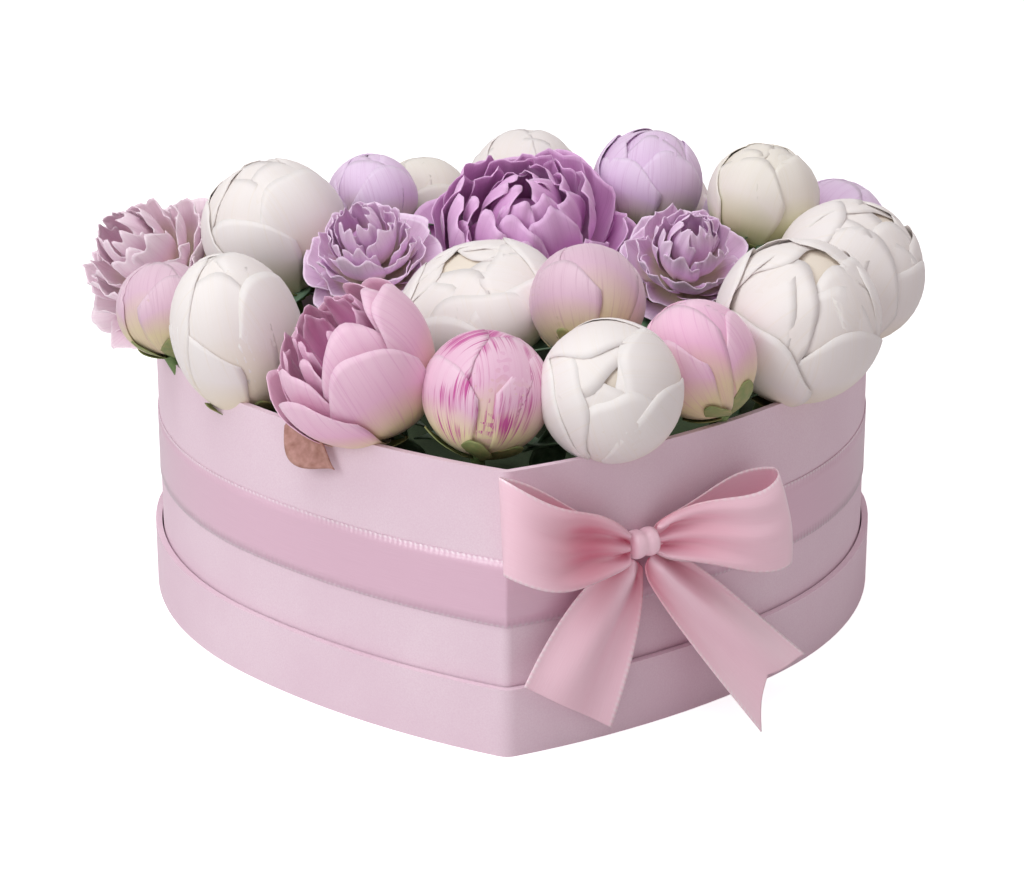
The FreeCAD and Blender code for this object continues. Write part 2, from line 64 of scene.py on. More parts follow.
def linear(code):
    """An sRGB hex colour as linear red, green, blue and alpha."""
    parts = [int(code[i:i + 2], 16) / 255 for i in (1, 3, 5)]
    return (*(c / 12.92 if c <= 0.04045 else ((c + 0.055) / 1.055) ** 2.4 for c in parts), 1.0)


def add_node(tree, kind, inputs=None, **settings):
    """Adds a node. An input is a value or another node's output, named by its socket or its number."""
    made = tree.nodes.new(kind)
    for name, setting in settings.items():
        setattr(made, name, setting)
    for socket, given in (inputs or {}).items():
        if isinstance(given, bpy.types.NodeSocket):
            tree.links.new(given, made.inputs[socket])
        else:
            made.inputs[socket].default_value = given
    return made


def reckon(tree, operation, *given):
    """The output of a sum with one or two values."""
    return add_node(tree, "ShaderNodeMath", dict(enumerate(given)), operation=operation).outputs[0]


def remap(tree, given, low, high, low_to=0.0, high_to=1.0):
    """The output of a change of range that is held within its ends."""
    return add_node(tree, "ShaderNodeMapRange", {0: given, 1: low, 2: high, 3: low_to, 4: high_to}).outputs[0]


def blend(tree, share, first, second):
    """The output of a mix of two colours, each an sRGB hex code or another output."""
    first, second = (linear(colour) if isinstance(colour, str) else colour for colour in (first, second))
    return add_node(tree, "ShaderNodeMix", {0: share, 6: first, 7: second}, data_type="RGBA").outputs[2]


def new_finish(name, **sockets):
    """A material with one Principled shader, whose plain values are set on its own sockets."""
    material = bpy.data.materials.new(name)
    material.use_nodes = True
    shader = material.node_tree.nodes["Principled BSDF"]
    for socket, given in sockets.items():
        shader.inputs[socket.replace("_", " ")].default_value = given
    return material, material.node_tree, shader


def cover(tree, shader, tone, height, strength, distance):
    """Links a colour, and a relief of the given height, to the shader."""
    relief = add_node(tree, "ShaderNodeBump", {"Height": height, "Strength": strength, "Distance": distance})
    tree.links.new(tone, shader.inputs["Base Color"])
    tree.links.new(relief.outputs[0], shader.inputs["Normal"])


print("tools for finishes ready")

# %% [markdown]
# Three more tools serve the modelled pieces: one reads a mesh's points, one gives a sheet its
# thickness, and one joins parts into one piece.

# %% Tools for pieces


def points_of(mesh):
    """A mesh's points as rows of x, y and z."""
    flat = np.empty(len(mesh.vertices) * 3)
    mesh.vertices.foreach_get("co", flat)
    return flat.reshape(-1, 3)


def thicken(sheet, thickness):
    """Makes the active sheet solid, half to each side, and smooth."""
    thick = sheet.modifiers.new("thickness", "SOLIDIFY")
    thick.thickness, thick.offset = thickness, 0
    bpy.ops.object.modifier_apply(modifier=thick.name)
    bpy.ops.object.shade_smooth()


def join_parts(main, others):
    """Joins other parts into the main one, which keeps its name."""
    bpy.ops.object.select_all(action="DESELECT")
    for part in (*others, main):
        part.select_set(True)
    bpy.context.view_layer.objects.active = main
    bpy.ops.object.join()


print("tools for pieces ready")

# %% [markdown]
# The photograph was taken from a little above, straight at the heart's tip, with a long lens. The
# camera's place, tilt and lens come from the box's own edges. The floor is white and plain, a large
# soft lamp stands front left, another hangs above the flowers, and a dim rosy sky fills the shadows.

# %% Camera
CAMERA_BACK, CAMERA_HIGH = 1.1548, 0.4718
CAMERA_TILT, CAMERA_LENS, OBJECT_TURN = 19.94, 105.8, 0.59
turn = math.radians(OBJECT_TURN)
bpy.ops.object.camera_add(
    location=(CAMERA_BACK * math.sin(turn), -CAMERA_BACK * math.cos(turn), CAMERA_HIGH),
    rotation=(math.radians(90 - CAMERA_TILT), 0, turn))
camera = bpy.context.object
camera.data.lens = CAMERA_LENS
bpy.context.scene.camera = camera
print("camera at", [round(c, 3) for c in camera.location])

# %% Floor, sky and lamps
bpy.context.scene.view_settings.view_transform = "Standard"
SKY_FILL, FLOOR_LIFT = 0.41, 0.72
LAMP_TARGET = Vector((0, -0.05, 0.09))
LAMPS = (("key_lamp", (-1.20, -1.20, 1.00), 0.9, 11.6), ("top_lamp", (-0.25, -0.35, 1.55), 1.3, 12.0))
DAYLIGHT = "#F8FFFF"

bpy.ops.mesh.primitive_plane_add(size=8)
floor = bpy.context.object
floor.name = "floor"
paint, tree, shader = new_finish("white_floor", Base_Color=linear("#E6E6E6"), Roughness=0.9)
ray = add_node(tree, "ShaderNodeLightPath")
lift = reckon(tree, "MULTIPLY", ray.outputs["Is Camera Ray"], FLOOR_LIFT)
glow = add_node(tree, "ShaderNodeEmission", {"Strength": lift})
lit = add_node(tree, "ShaderNodeAddShader", {0: shader.outputs[0], 1: glow.outputs[0]})
tree.links.new(lit.outputs[0], tree.nodes["Material Output"].inputs["Surface"])
floor.data.materials.append(paint)

sky = bpy.data.worlds.new("studio")
bpy.context.scene.world = sky
sky.use_nodes = True
tree = sky.node_tree
tree.nodes.clear()
ray = add_node(tree, "ShaderNodeLightPath")
seen = reckon(tree, "MAXIMUM", ray.outputs["Is Camera Ray"], ray.outputs["Is Glossy Ray"])
seen = reckon(tree, "MAXIMUM", seen, ray.outputs["Is Transmission Ray"])
fill = add_node(tree, "ShaderNodeBackground", {"Color": linear("#FFF0F3"), "Strength": SKY_FILL})
white = add_node(tree, "ShaderNodeBackground", {"Color": (1, 1, 1, 1), "Strength": 1.0})
both = add_node(tree, "ShaderNodeMixShader", {0: seen, 1: fill.outputs[0], 2: white.outputs[0]})
add_node(tree, "ShaderNodeOutputWorld", {"Surface": both.outputs[0]})

for name, place, size, watts in LAMPS:
    bpy.ops.object.light_add(type="AREA", location=place)
    lamp = bpy.context.object
    lamp.name = name
    lamp.data.size, lamp.data.energy, lamp.data.color = size, watts, linear(DAYLIGHT)[:3]
    lamp.rotation_mode = "QUATERNION"
    lamp.rotation_quaternion = (LAMP_TARGET - Vector(place)).to_track_quat("-Z", "Y")
print("stage: floor, sky and", len(LAMPS), "lamps")

# %% [markdown]
# The box and its lid are grey board wrapped in coloured paper. The paper is uncoated and faintly
# fibrous, so it is matt, with a tooth of a few tenths of a millimetre that only a close look shows and
# slow changes of tone. The inside is lined with the same paper. The foam is the dull green of soaked
# floral foam, and the thin film of the tray lies close to it and is a shiny green, darker than the foam.

# %% Paper, board, film and foam
CLOUD_SIZE, CLOUD_RANGE, TOOTH_STRENGTH = 40 * MM, (0.12, 0.40), 0.35


def speckled(name, colour, other, grain, bump, roughness):
    """A matt finish with slow clouds between two colours and a fine tooth of the given grain."""
    material, tree, shader = new_finish(name, Roughness=roughness)
    place = add_node(tree, "ShaderNodeTexCoord").outputs["Object"]
    clouds = add_node(tree, "ShaderNodeTexNoise", {"Vector": place, "Scale": 1 / CLOUD_SIZE, "Detail": 4.0})
    tooth = add_node(tree, "ShaderNodeTexNoise", {"Vector": place, "Scale": 1 / grain, "Detail": 2.0})
    share = remap(tree, reckon(tree, "MULTIPLY", clouds.outputs[0], tooth.outputs[0]), *CLOUD_RANGE)
    cover(tree, shader, blend(tree, share, colour, other), tooth.outputs[0], TOOTH_STRENGTH, bump)
    return material


wrap_paper = speckled("wrap_paper_lilac", "#E5C9D7", "#ECD5E0", 0.6 * MM, 0.04 * MM, 0.62)
grey_board = speckled("grey_board", "#A39D95", "#B8B2A8", 0.8 * MM, 0.05 * MM, 0.85)
lining_paper = speckled("lining_paper", "#E0C3D2", "#E7CEDA", 0.6 * MM, 0.04 * MM, 0.7)
floral_foam = speckled("floral_foam_wet", "#33402C", "#465638", 0.9 * MM, 0.3 * MM, 0.9)
# the tray's film is a shiny green, darker than the foam
film = speckled("dark_green_film", "#2B3626", "#35422D", 3 * MM, 0.1 * MM, 0.25)

FINISH_OF_NODE = {
    "lid_panel": grey_board, "lid_wall_left": grey_board, "lid_wall_right": grey_board,
    "base_board": grey_board, "box_wall_left": grey_board, "box_wall_right": grey_board,
    "lid_cover": wrap_paper, "lid_wrap": wrap_paper, "base_paper": wrap_paper, "box_wrap": wrap_paper,
    "lining": lining_paper, "film_tray": film, "foam_left": floral_foam, "foam_right": floral_foam,
}
for node_name, finish in FINISH_OF_NODE.items():
    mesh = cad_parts[node_name].data
    mesh.materials.clear()
    mesh.materials.append(finish)
print("finishes on", len(FINISH_OF_NODE), "nodes of the frame")

# %% [markdown]
# A peony petal is a thin spoon: narrow at its foot, broad and rounded at its tip, and curved like a
# patch of a ball. Every petal here starts as the same flat grid, whose one side runs from foot to tip
# and the other across. An Array modifier repeats the grid once for each petal of a head, and each
# copy is then laid on its ball: along a meridian from foot to tip, and across it on a great circle, so
# that no petal bunches up at the top. Leaning it out about its foot opens the flower, and waves near
# the tip give the ruffled edges. A petal's foot, tip and lean are what tells a bud from a bloom.

# %% One petal
GRID_ACROSS, GRID_ALONG = 16, 16
PETAL_THICK = 0.3 * MM
EDGE_POWER, CORNER_POWER = 5, 2.6
FOOT_WIDTH, FULL_WIDTH_AT = 0.22, 0.58
NOTCH_PITCH, FINE_PITCH, FINE_SHARE = 2.3, 2.7, 0.25
LEAN_AT_FOOT, RUFFLE_AT_RIB = 0.35, 0.4


@dataclass
class Petal:
    """Places from foot to tip are shares of a half circle from the foot's pole, lengths are shares of the head."""
    turn: float             # about the pole, in radians
    tip: float              # where the petal ends
    wide: float             # half its width, in radians
    shell: float = 1.0      # how far it lies from the middle
    foot: float = 0.07      # where the petal starts
    lean: float = 0.0       # outwards about its foot, in degrees
    twist: float = 0.04     # one side out, the other in, so that petals overlap
    ruffle: float = 0.01    # height of the waves near the tip
    waves: float = 3        # number of the waves
    phase: float = 0.0      # where the waves start
    notch: float = 0.03     # how far the edge is cut in
    drop: float = 0.32      # how far the corners fall short of the tip
    lift: float = 0.0       # rise of the tip along the pole
    curl: float = 0.0       # outwards at the tip
    depth: float = 0.0      # how much of the heart's colour it takes

    def points(self, along, across):
        """The petal's points on a head of radius 1, with its pole up."""
        reach = along * (1 - self.drop * np.abs(across) ** CORNER_POWER)
        cut = 0.5 + 0.5 * np.cos(self.waves * NOTCH_PITCH * across + self.phase)
        reach = reach - self.notch * along ** EDGE_POWER * cut
        swell = FOOT_WIDTH + (1 - FOOT_WIDTH) * np.sin(np.minimum(reach / FULL_WIDTH_AT, 1) * math.pi / 2)
        angle = math.pi * (self.foot + (self.tip - self.foot) * reach)
        side = across * self.wide * swell
        waves = np.sin(self.waves * math.pi * across + self.phase)
        fine = np.sin(FINE_PITCH * self.waves * math.pi * across + 2 * self.phase)
        waves = waves + FINE_SHARE * fine * along ** 2
        ruffled = waves * (RUFFLE_AT_RIB + (1 - RUFFLE_AT_RIB) * np.abs(across))
        shell = self.shell * (1 + self.twist * across + self.curl * reach ** 4 + self.ruffle * reach ** 3 * ruffled)
        out = np.sin(angle) * np.cos(side) * shell
        high = -np.cos(angle) * np.cos(side) * shell
        foot_out = math.sin(math.pi * self.foot) * self.shell
        foot_high = -math.cos(math.pi * self.foot) * self.shell
        lean = math.radians(self.lean) * (LEAN_AT_FOOT + (1 - LEAN_AT_FOOT) * reach)
        far, tall = out - foot_out, high - foot_high
        out = foot_out + far * np.cos(lean) + tall * np.sin(lean)
        high = foot_high - far * np.sin(lean) + tall * np.cos(lean) + self.lift * reach
        ahead = np.array([math.cos(self.turn), math.sin(self.turn), 0.0])
        aside = np.array([-math.sin(self.turn), math.cos(self.turn), 0.0])
        return np.outer(out, ahead) + np.outer(np.sin(side) * shell, aside) + np.outer(high, [0.0, 0.0, 1.0])


print("petal grid of", GRID_ACROSS, "by", GRID_ALONG)

# %% [markdown]
# Five kinds of head fill the box. A bud is a closed ball of broad petals, each tucked under the next.
# A folded head has loosened into broad, wavy petals that still close over the middle. A cup has opened
# on one side and shows short frilled petals inside. A bloom is fully open: broad guard petals below,
# and rows of ruffled ones that stand steeper towards the middle. A ball is as full but less open.

# %% Kinds of heads


def petal_row(draw, count, tip, wide, start=0.0, spread=0.12, **rest):
    """A ring of petals, a little uneven, with the petal's other values given as single numbers or ranges."""
    row = []
    for i in range(count):
        own = {name: draw.uniform(*given) if isinstance(given, tuple) else given for name, given in rest.items()}
        row.append(Petal(start + 2 * math.pi * i / count + draw.uniform(-spread, spread), draw.uniform(*tip),
                         draw.uniform(*wide), phase=draw.uniform(0, 6.28), **own))
    return row


def bud_petals(draw):
    inner = petal_row(draw, 3, (0.97, 1.04), (0.95, 1.1), shell=0.972, twist=0.018, ruffle=0.008, depth=0.3)
    waist = petal_row(draw, 4, (0.88, 0.99), (0.85, 1.0), start=0.6, shell=0.986, twist=0.014, depth=0.1)
    guard = petal_row(draw, 3, (0.64, 0.84), (0.85, 1.05), start=1.3, shell=1.0, twist=0.012, ruffle=0.012,
                      waves=(1.5, 2.5), curl=(-0.01, 0.01), notch=(0.02, 0.06))
    return inner + waist + guard, 0.93


def folded_petals(draw):
    heart = petal_row(draw, 4, (0.93, 1.02), (0.72, 0.92), shell=0.915, twist=0.035, ruffle=0.035, waves=(1.5, 2.5),
                      notch=0.05, lift=0.02, depth=0.3)
    second = petal_row(draw, 5, (0.84, 0.98), (0.75, 0.95), start=0.4, shell=0.95, twist=0.03, ruffle=0.035,
                       waves=(1.5, 3), notch=0.06, lean=(-2, 1), depth=0.2)
    guard = petal_row(draw, 5, (0.64, 0.88), (0.80, 1.0), start=0.9, shell=0.98, twist=0.028, ruffle=0.03,
                      waves=(1.5, 2.5), curl=(-0.03, 0.01), lean=(-1, 1), notch=0.05)
    return heart + second + guard, 0.89


def cup_petals(draw):
    heart = petal_row(draw, 7, (0.66, 0.78), (0.34, 0.46), shell=0.50, twist=0.1, ruffle=0.12, waves=(2, 3),
                      notch=0.08, lift=0.34, lean=(-8, 4), depth=0.9)
    frill = petal_row(draw, 9, (0.62, 0.74), (0.32, 0.46), start=0.4, shell=0.74, twist=0.1, ruffle=0.07,
                      waves=(2, 3), notch=0.07, lift=0.12, lean=(-8, 2), depth=0.45)
    second = petal_row(draw, 6, (0.64, 0.78), (0.50, 0.70), start=0.2, shell=0.87, ruffle=0.035, waves=(1.5, 3),
                       notch=0.05, depth=0.15)
    guard = petal_row(draw, 6, (0.62, 0.74), (0.66, 0.84), start=0.3, shell=0.97, ruffle=0.03, waves=(1.5, 2.5),
                      lean=(0, 6), notch=0.05)
    for petal in second + guard:
        petal.tip += 0.07 * math.cos(petal.turn)
    return heart + frill + second + guard, 0.30


def bloom_petals(draw):
    heart = petal_row(draw, 5, (0.74, 0.92), (0.75, 1.0), shell=0.36, twist=0.15, ruffle=0.16, waves=(2.5, 4),
                      notch=0.15, lift=0.48, lean=(-6, 10), drop=0.24, depth=0.5)
    third = petal_row(draw, 6, (0.64, 0.78), (0.70, 0.95), start=0.3, shell=0.50, twist=0.12, ruffle=0.16,
                      waves=(2.5, 4), notch=0.14, lift=0.30, lean=(0, 18), spread=0.35, drop=0.22, depth=0.3)
    second = petal_row(draw, 7, (0.60, 0.72), (0.68, 0.90), start=0.1, shell=0.63, twist=0.10, ruffle=0.14,
                       waves=(2.5, 4), notch=0.12, lift=0.16, lean=(12, 30), spread=0.35, drop=0.22, depth=0.15)
    first = petal_row(draw, 7, (0.56, 0.66), (0.70, 0.95), start=0.5, shell=0.74, ruffle=0.11, waves=(1.5, 3),
                      notch=0.07, lift=0.04, lean=(24, 40), spread=0.3, drop=0.24, depth=0.1)
    guard = petal_row(draw, 6, (0.56, 0.66), (0.80, 1.0), start=0.9, shell=0.80, ruffle=0.08, waves=(1.5, 2.5),
                      lean=(36, 52), notch=0.06, drop=0.26)
    return heart + third + second + first + guard, 0.28


def ball_petals(draw):
    heart = petal_row(draw, 7, (0.80, 0.96), (0.50, 0.72), shell=0.42, twist=0.12, ruffle=0.14, waves=(2, 3),
                      notch=0.07, lift=0.30, lean=(-6, 6), depth=0.6)
    third = petal_row(draw, 9, (0.72, 0.86), (0.46, 0.66), start=0.3, shell=0.58, twist=0.12, ruffle=0.13,
                      waves=(2, 3), notch=0.07, lift=0.18, lean=(-4, 8), spread=0.3, depth=0.4)
    second = petal_row(draw, 10, (0.64, 0.78), (0.46, 0.66), start=0.1, shell=0.73, twist=0.10, ruffle=0.10,
                       waves=(2, 3), notch=0.07, lift=0.08, lean=(0, 12), spread=0.3, depth=0.2)
    first = petal_row(draw, 9, (0.58, 0.68), (0.50, 0.72), start=0.5, shell=0.85, ruffle=0.08, waves=(1.5, 3),
                      notch=0.06, lean=(6, 18), spread=0.3, depth=0.1)
    guard = petal_row(draw, 7, (0.52, 0.62), (0.70, 0.90), start=0.9, shell=0.92, ruffle=0.06, waves=(1.5, 2.5),
                      lean=(14, 28), notch=0.05)
    return heart + third + second + first + guard, 0.34


KINDS = {"bud": bud_petals, "folded": folded_petals, "cup": cup_petals, "bloom": bloom_petals, "ball": ball_petals}
print("kinds of heads:", ", ".join(KINDS))

# %% [markdown]
# Petals are soft and dull, a little velvety at a low angle, and paler towards the edge. The foot is
# cream to green, the heart of the flower deeper, and fine veins run from foot to tip. Each head's mesh
# carries an attribute for this: how far along the petal a point lies, a random share for each petal,
# and how deep in the head it sits. The veins follow the petal's own UV map. One flower is streaked.

# %% Petal finishes
VEINS_ACROSS, VEINS_ALONG, VEIN_RANGE, VEIN_SHARE = 46.0, 1.6, (0.52, 0.75), 0.30
EDGE_RANGE, EDGE_SHARE = (0.55, 1.0), 0.35
HEART_RANGE, HEART_AT_TIP = (0.25, 0.95), 0.25
FOOT_RANGE, FOOT_SHARE = (0.34, 0.66), 0.85
STREAK_SIZE, STREAK_RANGE = 16 * MM, (0.25, 0.37)
PETAL_RELIEF = 0.25, 0.2 * MM


def petal_finish(name, body, edge, foot, heart, streak=None, streak_share=0.0):
    """A petal's finish from its body, edge, foot and heart colours, with veins in the heart's colour."""
    material, tree, shader = new_finish(name, Roughness=0.58, Sheen_Weight=0.2, Sheen_Roughness=0.5)
    carried = add_node(tree, "ShaderNodeAttribute", attribute_name="petal")
    along, share, depth = add_node(tree, "ShaderNodeSeparateColor", {0: carried.outputs["Color"]}).outputs
    given = add_node(tree, "ShaderNodeTexCoord").outputs
    lines = add_node(tree, "ShaderNodeMapping", {0: given["UV"], "Scale": (VEINS_ACROSS, VEINS_ALONG, 1.0)})
    veins = add_node(tree, "ShaderNodeTexNoise", {"Vector": lines.outputs[0], "Scale": 1.0, "Detail": 3.0,
                                                  "Distortion": 0.6}).outputs[0]
    tone = blend(tree, remap(tree, along, *EDGE_RANGE), body, edge)
    tone = blend(tree, reckon(tree, "MULTIPLY", share, EDGE_SHARE), tone, edge)
    inside = remap(tree, along, *HEART_RANGE, 1.0, HEART_AT_TIP)
    tone = blend(tree, reckon(tree, "MULTIPLY", inside, depth), tone, heart)
    low = remap(tree, along, *FOOT_RANGE, FOOT_SHARE, 0.0)
    tone = blend(tree, reckon(tree, "MULTIPLY", low, reckon(tree, "SUBTRACT", 1.0, depth)), tone, foot)
    tone = blend(tree, remap(tree, veins, *VEIN_RANGE, 0.0, VEIN_SHARE), tone, heart)
    if streak:
        blots = {"Vector": given["Object"], "Scale": 1 / STREAK_SIZE, "Detail": 1.0}
        mark = reckon(tree, "MULTIPLY", add_node(tree, "ShaderNodeTexNoise", blots).outputs[0], veins)
        tone = blend(tree, remap(tree, mark, *STREAK_RANGE, 0.0, streak_share), tone, streak)
    cover(tree, shader, tone, veins, *PETAL_RELIEF)
    return material


PETAL_FINISHES = {
    "white": petal_finish("petal_white", "#EBE2DF", "#EFE9E7", "#E6DABB", "#EADDCB"),
    "cream": petal_finish("petal_cream", "#E8E0D6", "#ECE6DE", "#CFD097", "#E4DAC0"),
    "pink": petal_finish("petal_pink", "#E8ADCC", "#F0CADD", "#E3D39C", "#CC68B0"),
    "blush": petal_finish("petal_blush", "#F6D8E8", "#FBEAF2", "#EADCC0", "#D8A0C4"),
    "mauve": petal_finish("petal_mauve", "#F3CCF1", "#FAE2F8", "#E2D8B0", "#C688C4"),
    "dusty": petal_finish("petal_dusty", "#D5ADC3", "#E2C5D3", "#DCD09C", "#A8648E"),
    "lilac": petal_finish("petal_lilac", "#DDBCE1", "#E9D3EC", "#DCD6B0", "#B878B4"),
    "magenta": petal_finish("petal_magenta", "#DE92D6", "#F2C8EE", "#D8ACC8", "#C272BA"),
    "striped": petal_finish("petal_striped", "#DFACC8", "#ECC8DA", "#E9DFA4", "#D47CB0", "#BE3A90", 0.95),
}
stem_green = speckled("stem_green", "#5F7A45", "#7E935A", 1.2 * MM, 0.1 * MM, 0.6)
sepal_green = speckled("sepal_green", "#7C8D55", "#A39A67", 2.5 * MM, 0.15 * MM, 0.6)
print("petal finishes:", ", ".join(PETAL_FINISHES))

# %% [markdown]
# Each head is grown where its solid stands in the frame. The stem's foot is the lowest ring of that
# solid, the head is what stands out from the stem, and its widest place gives its middle and its
# radius. A head can then be turned about its middle, as cut flowers are when they are arranged.

# %% Where a head stands
STEM_RADIUS = 2.5 * MM
HEAD_CLEAR, HEAD_FROM, WIDEST = 1.5, 0.6, 0.93


class Stand:
    """The foot, axis, middle and radius of one flower's solid."""

    def __init__(self, node_name):
        points = points_of(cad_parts[node_name].data)
        self.foot = points[points[:, 2] < points[:, 2].min() + 1 * MM].mean(axis=0)
        goal = points[points[:, 2] > np.median(points[:, 2])].mean(axis=0)
        for _ in range(3):
            self.axis = (goal - self.foot) / np.linalg.norm(goal - self.foot)
            up = (points - self.foot) @ self.axis
            aside = np.linalg.norm(points - self.foot - np.outer(up, self.axis), axis=1)
            head = points[(aside > HEAD_CLEAR * STEM_RADIUS) & (up > HEAD_FROM * up.max())]
            goal = (head.min(axis=0) + head.max(axis=0)) / 2
        self.radius = aside.max()
        self.middle = self.foot + self.axis * up[aside > WIDEST * self.radius].mean()


stands = {name: Stand(name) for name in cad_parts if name.startswith("peony_")}
for name in ("peony_magenta_bloom", "peony_pink_cup_front"):
    print(name, "middle", np.round(stands[name].middle / MM, 1), "radius", round(stands[name].radius / MM, 1))

# %% [markdown]
# A head is assembled as a gardener would take it apart: petals on a closed core, five green sepals
# below, and the stem. The petals get their thickness from Solidify, and all parts are joined into one
# piece per flower.

# %% Assembling a flower
SEPALS, STEM_TOP = 5, -0.97
GOLDEN_SHARE = 0.618
CORE_MARKS, STEM_MARKS = (0.4, 0.5, 0.9), (0.0, 0.0, 0.0)


def petal_mesh(petals, place, name):
    """One mesh with a copy of the grid for each petal, laid on the head by the place matrix."""
    bpy.ops.mesh.primitive_grid_add(x_subdivisions=GRID_ACROSS, y_subdivisions=GRID_ALONG, size=2)
    piece = bpy.context.object
    piece.name = name
    flat = points_of(piece.data)
    across, along = flat[:, 0], (flat[:, 1] + 1) / 2
    copies = piece.modifiers.new("copies", "ARRAY")
    copies.count, copies.use_relative_offset = len(petals), False
    bpy.ops.object.modifier_apply(modifier=copies.name)
    turn, origin = np.array(place.to_3x3()), np.array(place.translation)
    laid = np.concatenate([petal.points(along, across) @ turn.T + origin for petal in petals])
    piece.data.vertices.foreach_set("co", laid.ravel())
    marks = np.ones((len(petals), len(along), 4))
    for i, petal in enumerate(petals):
        marks[i, :, 0], marks[i, :, 1], marks[i, :, 2] = along, i * GOLDEN_SHARE % 1, petal.depth
    piece.data.attributes.new("petal", "FLOAT_COLOR", "POINT").data.foreach_set("color", marks.ravel())
    thicken(piece, PETAL_THICK)
    return piece


def mark_all(piece, marks):
    """Gives a whole mesh one value of the petal attribute."""
    carried = piece.data.attributes.new("petal", "FLOAT_COLOR", "POINT")
    carried.data.foreach_set("color", [*marks, 1.0] * len(piece.data.vertices))


def grow_flower(name, kind, finish, facing, spin, tall, fullness, shift=(0, 0, 0), seed=0):
    """One flower in the place of its solid, turned to a facing and shifted by millimetres where given."""
    stand = stands[name]
    draw = np.random.default_rng(seed)
    petals, core_share = KINDS[kind](draw)
    pole = Vector(facing).normalized() if facing else Vector(stand.axis)
    turn = pole.to_track_quat("Z", "Y").to_matrix().to_4x4() @ Matrix.Rotation(math.radians(spin), 4, "Z")
    size = stand.radius * fullness
    middle = Matrix.Translation(Vector(stand.middle) + Vector(shift) * MM)
    place = middle @ turn @ Matrix.Diagonal((size, size, size * tall, 1))
    flower = petal_mesh(petals, place, name.replace("peony_", "flower_"))
    flower.data.materials.append(PETAL_FINISHES[finish])

    bpy.ops.mesh.primitive_uv_sphere_add(segments=28, ring_count=18, radius=core_share)
    core = bpy.context.object
    core.data.transform(place)
    core.data.materials.append(PETAL_FINISHES[finish])
    mark_all(core, CORE_MARKS)
    bpy.ops.object.shade_smooth()

    sepal_row = petal_row(draw, SEPALS, (0.24, 0.32), (0.22, 0.32), shell=1.015, foot=0.02, lean=(0, 6), drop=0.6,
                          notch=0.0)
    green = petal_mesh(sepal_row, place, "sepals")
    green.data.materials.append(sepal_green)

    start = Vector(stand.foot)
    run = place @ Vector((0, 0, STEM_TOP)) - start
    bpy.ops.mesh.primitive_cylinder_add(vertices=14, radius=STEM_RADIUS, depth=1.0)
    stem = bpy.context.object
    stem.data.transform(Matrix.Translation(start + run / 2) @ run.to_track_quat("Z", "Y").to_matrix().to_4x4()
                        @ Matrix.Diagonal((1, 1, run.length, 1)))
    stem.data.materials.append(stem_green)
    mark_all(stem, STEM_MARKS)
    bpy.ops.object.shade_smooth_by_angle(angle=math.radians(40))

    join_parts(flower, (core, green, stem))
    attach(flower, "arrangement")
    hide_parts(name)
    return flower


print("flowers are assembled with", SEPALS, "sepals each")

# %% [markdown]
# The heads and their colours follow the photograph from front to back. A row names the solid, the kind
# of head and its finish. It then gives the facing where the head is seen turned, towards the viewer or
# away over the rim, the spin about it in degrees, how tall the head is for its width, how full it is
# for its solid, and a shift in millimetres where the photograph shows it beside or below its solid.

# %% All the flowers
ARRANGED = (
    ("peony_mauve_bud_left", "bud", "dusty", (-0.1, 0.35, 0.9), 20, 1.0, 1.06),
    ("peony_white_egg_left", "bud", "white", (-0.25, -0.15, 0.95), 200, 1.32, 0.98, (0, 0, -3)),
    ("peony_pink_cup_front", "cup", "pink", (-0.46, -0.2, 0.87), 40, 1.08, 1.11, (4, 0, -5)),
    ("peony_striped_bud_front", "bud", "striped", (0.15, 0.25, 0.95), 110, 0.98, 1.03, (2, 0, 0)),
    ("peony_white_bud_front", "bud", "white", (-0.1, -0.85, 0.5), 250, 1.0, 1.14, (1, 0, -2)),
    ("peony_pink_bud_right", "bud", "pink", (-0.45, 0.2, 0.85), 150, 1.05, 1.06),
    ("peony_white_bloom_right", "folded", "white", (0.25, -0.45, 0.85), 10, 1.0, 1.14, (-1, 0, -4)),
    ("peony_white_far_right", "folded", "white", (0.45, -0.3, 0.85), 70, 0.95, 1.08, (-3, 0, -5)),
    ("peony_white_centre", "folded", "white", (-0.35, -0.3, 0.9), 15, 0.62, 1.27, (2, 0, -6)),
    ("peony_pink_bud_centre", "bud", "dusty", (-0.05, 0.5, 0.85), 330, 1.0, 1.08, (0, 0, -3)),
    ("peony_mauve_bloom_right", "bloom", "mauve", (0.1, -0.55, 0.83), 0, 1.0, 0.9, (0, 0, -1)),
    ("peony_mauve_bloom_left", "bloom", "mauve", (-0.2, -0.5, 0.85), 25, 1.0, 0.9, (0, 0, -2)),
    ("peony_magenta_bloom", "ball", "magenta", (0.0, -0.5, 0.87), 5, 0.95, 1.04, (-1, -2, -7)),
    ("peony_white_left", "folded", "white", None, 90, 1.0, 1.04, (3, 0, -6)),
    ("peony_pink_far_left", "bloom", "blush", (-0.55, -0.45, 0.7), 60, 1.0, 1.1, (-2, 0, -4)),
    ("peony_mauve_bud_back", "bud", "lilac", None, 0, 1.0, 1.06, (0, 0, -8)),
    ("peony_cream_back", "bud", "cream", None, 140, 1.0, 1.06, (0, 0, -9)),
    ("peony_white_back", "folded", "white", None, 180, 1.0, 1.02, (0, 0, -11)),
    ("peony_pink_back", "folded", "lilac", None, 30, 1.0, 1.08, (0, 0, -5)),
    ("peony_cream_back_right", "folded", "cream", None, 75, 1.0, 1.06, (0, 0, -7)),
    ("peony_pink_back_right", "bud", "lilac", None, 260, 1.0, 1.06, (0, 0, -6)),
    ("peony_white_lobe_left", "folded", "white", None, 310, 1.0, 1.06),
    ("peony_pink_lobe_left", "bud", "pink", None, 20, 1.0, 1.06),
    ("peony_cream_lobe_right", "folded", "cream", None, 45, 1.0, 1.06),
    ("peony_mauve_lobe_right", "bud", "lilac", None, 190, 1.0, 1.06),
)
FIRST_SEED = 31
